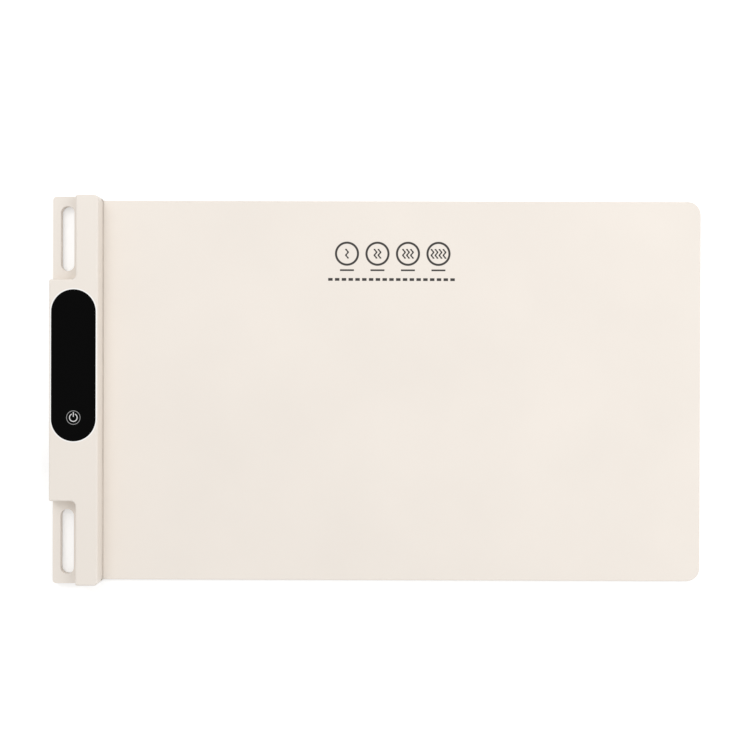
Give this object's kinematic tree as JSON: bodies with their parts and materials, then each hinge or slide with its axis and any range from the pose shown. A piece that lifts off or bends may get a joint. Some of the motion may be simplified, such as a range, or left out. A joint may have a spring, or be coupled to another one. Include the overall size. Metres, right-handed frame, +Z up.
{
  "type": "roll-up electric food warming tray",
  "caption": "Flat flexible silicone warming mat with a rigid control bar along one short side, a touch panel, and a strap slot at each end of the bar.",
  "frame": {"origin": "middle of the footprint, on the table", "axes": "+X from the control bar to the mat's free edge, +Y along the bar, +Z up"},
  "size_m": [0.6, 0.358, 0.022],
  "materials": {
    "bar_plastic": "fine matt moulded plastic, warm off-white",
    "silicone": "matt silicone with fine grain, warm off-white",
    "silicone_under": "matt silicone, warm off-white",
    "lens": "glossy black panel",
    "black_plastic": "satin black",
    "board": "green board",
    "foam": "black foam",
    "lamp": "clear white",
    "pin_metal": "bright plated metal",
    "capacitor_yellow": "yellow box",
    "ferrite": "dark ferrite",
    "can_metal": "bare aluminium",
    "fuse_glass": "clear glass tube",
    "terminal_green": "green block",
    "lead_red": "red silicone lead",
    "bead": "amber bead",
    "ribbon": "pale flat cable",
    "heater": "black carbon film",
    "strip_steel": "plain steel strip",
    "screw_steel": "zinc-plated steel",
    "foot_rubber": "soft pad"
  },
  "bodies": {
    "control_bar": {"bottom_cover": "bar_plastic", "top_cover": "bar_plastic", "panel_lens": "lens", "lens_adhesive": "black_plastic", "display_board": "board", "digit_display": "black_plastic", "touch_electrode": "foam", "status_lamps": "lamp", "power_board": "board", "inlet_socket": "black_plastic", "inlet_pins": "pin_metal", "interference_capacitor": "capacitor_yellow", "choke": "ferrite", "smoothing_capacitor": "can_metal", "glass_fuse": "fuse_glass", "fuse_clips": "pin_metal", "heat_spreader": "can_metal", "triac": "black_plastic", "buzzer": "black_plastic", "terminal_block": "terminal_green", "heater_leads": "lead_red", "thermistor": "bead", "thermal_cutoff": "can_metal", "ribbon_cable": "ribbon", "mat_tongue": "silicone", "film_tongue": "heater", "clamp_strip": "strip_steel", "cover_screws": "screw_steel", "board_screws": "screw_steel", "foot_pads": "foot_rubber"},
    "mat_section_1": {"mat_top_skin_1": "silicone", "heater_film_1": "heater", "mat_bottom_skin_1": "silicone_under"},
    "mat_section_2": {"mat_top_skin_2": "silicone", "heater_film_2": "heater", "mat_bottom_skin_2": "silicone_under"},
    "mat_section_3": {"mat_top_skin_3": "silicone", "heater_film_3": "heater", "mat_bottom_skin_3": "silicone_under"},
    "mat_section_4": {"mat_top_skin_4": "silicone", "heater_film_4": "heater", "mat_bottom_skin_4": "silicone_under"},
    "mat_section_5": {"mat_top_skin_5": "silicone", "heater_film_5": "heater", "mat_bottom_skin_5": "silicone_under"},
    "mat_section_6": {"mat_top_skin_6": "silicone", "heater_film_6": "heater", "mat_bottom_skin_6": "silicone_under"},
    "mat_section_7": {"mat_top_skin_7": "silicone", "heater_film_7": "heater", "mat_bottom_skin_7": "silicone_under"},
    "mat_section_8": {"mat_top_skin_8": "silicone", "heater_film_8": "heater", "mat_bottom_skin_8": "silicone_under"},
    "mat_section_9": {"mat_top_skin_9": "silicone", "heater_film_9": "heater", "mat_bottom_skin_9": "silicone_under"},
    "mat_section_10": {"mat_top_skin_10": "silicone", "heater_film_10": "heater", "mat_bottom_skin_10": "silicone_under"}
  },
  "joints": [
    {"name": "roll_1", "type": "hinge", "parent": "control_bar", "child": "mat_section_1", "pos_m": [-0.254, 0, 0.0042], "axis": [0, -1, 0], "range_deg": [0, 14]},
    {"name": "roll_2", "type": "hinge", "parent": "mat_section_1", "child": "mat_section_2", "pos_m": [-0.1851, 0, 0.0042], "axis": [0, -1, 0], "range_deg": [0, 42]},
    {"name": "roll_3", "type": "hinge", "parent": "mat_section_2", "child": "mat_section_3", "pos_m": [-0.1192, 0, 0.0042], "axis": [0, -1, 0], "range_deg": [0, 42]},
    {"name": "roll_4", "type": "hinge", "parent": "mat_section_3", "child": "mat_section_4", "pos_m": [-0.0563, 0, 0.0042], "axis": [0, -1, 0], "range_deg": [0, 42]},
    {"name": "roll_5", "type": "hinge", "parent": "mat_section_4", "child": "mat_section_5", "pos_m": [0.0036, 0, 0.0042], "axis": [0, -1, 0], "range_deg": [0, 42]},
    {"name": "roll_6", "type": "hinge", "parent": "mat_section_5", "child": "mat_section_6", "pos_m": [0.0605, 0, 0.0042], "axis": [0, -1, 0], "range_deg": [0, 42]},
    {"name": "roll_7", "type": "hinge", "parent": "mat_section_6", "child": "mat_section_7", "pos_m": [0.1144, 0, 0.0042], "axis": [0, -1, 0], "range_deg": [0, 42]},
    {"name": "roll_8", "type": "hinge", "parent": "mat_section_7", "child": "mat_section_8", "pos_m": [0.1653, 0, 0.0042], "axis": [0, -1, 0], "range_deg": [0, 42]},
    {"name": "roll_9", "type": "hinge", "parent": "mat_section_8", "child": "mat_section_9", "pos_m": [0.2132, 0, 0.0042], "axis": [0, -1, 0], "range_deg": [0, 42]},
    {"name": "roll_10", "type": "hinge", "parent": "mat_section_9", "child": "mat_section_10", "pos_m": [0.2581, 0, 0.0042], "axis": [0, -1, 0], "range_deg": [0, 42]}
  ],
  "couplings": [
    {"joint": "roll_2", "follows": "roll_1", "ratio": 3},
    {"joint": "roll_3", "follows": "roll_1", "ratio": 3},
    {"joint": "roll_4", "follows": "roll_1", "ratio": 3},
    {"joint": "roll_5", "follows": "roll_1", "ratio": 3},
    {"joint": "roll_6", "follows": "roll_1", "ratio": 3},
    {"joint": "roll_7", "follows": "roll_1", "ratio": 3},
    {"joint": "roll_8", "follows": "roll_1", "ratio": 3},
    {"joint": "roll_9", "follows": "roll_1", "ratio": 3},
    {"joint": "roll_10", "follows": "roll_1", "ratio": 3}
  ]
}
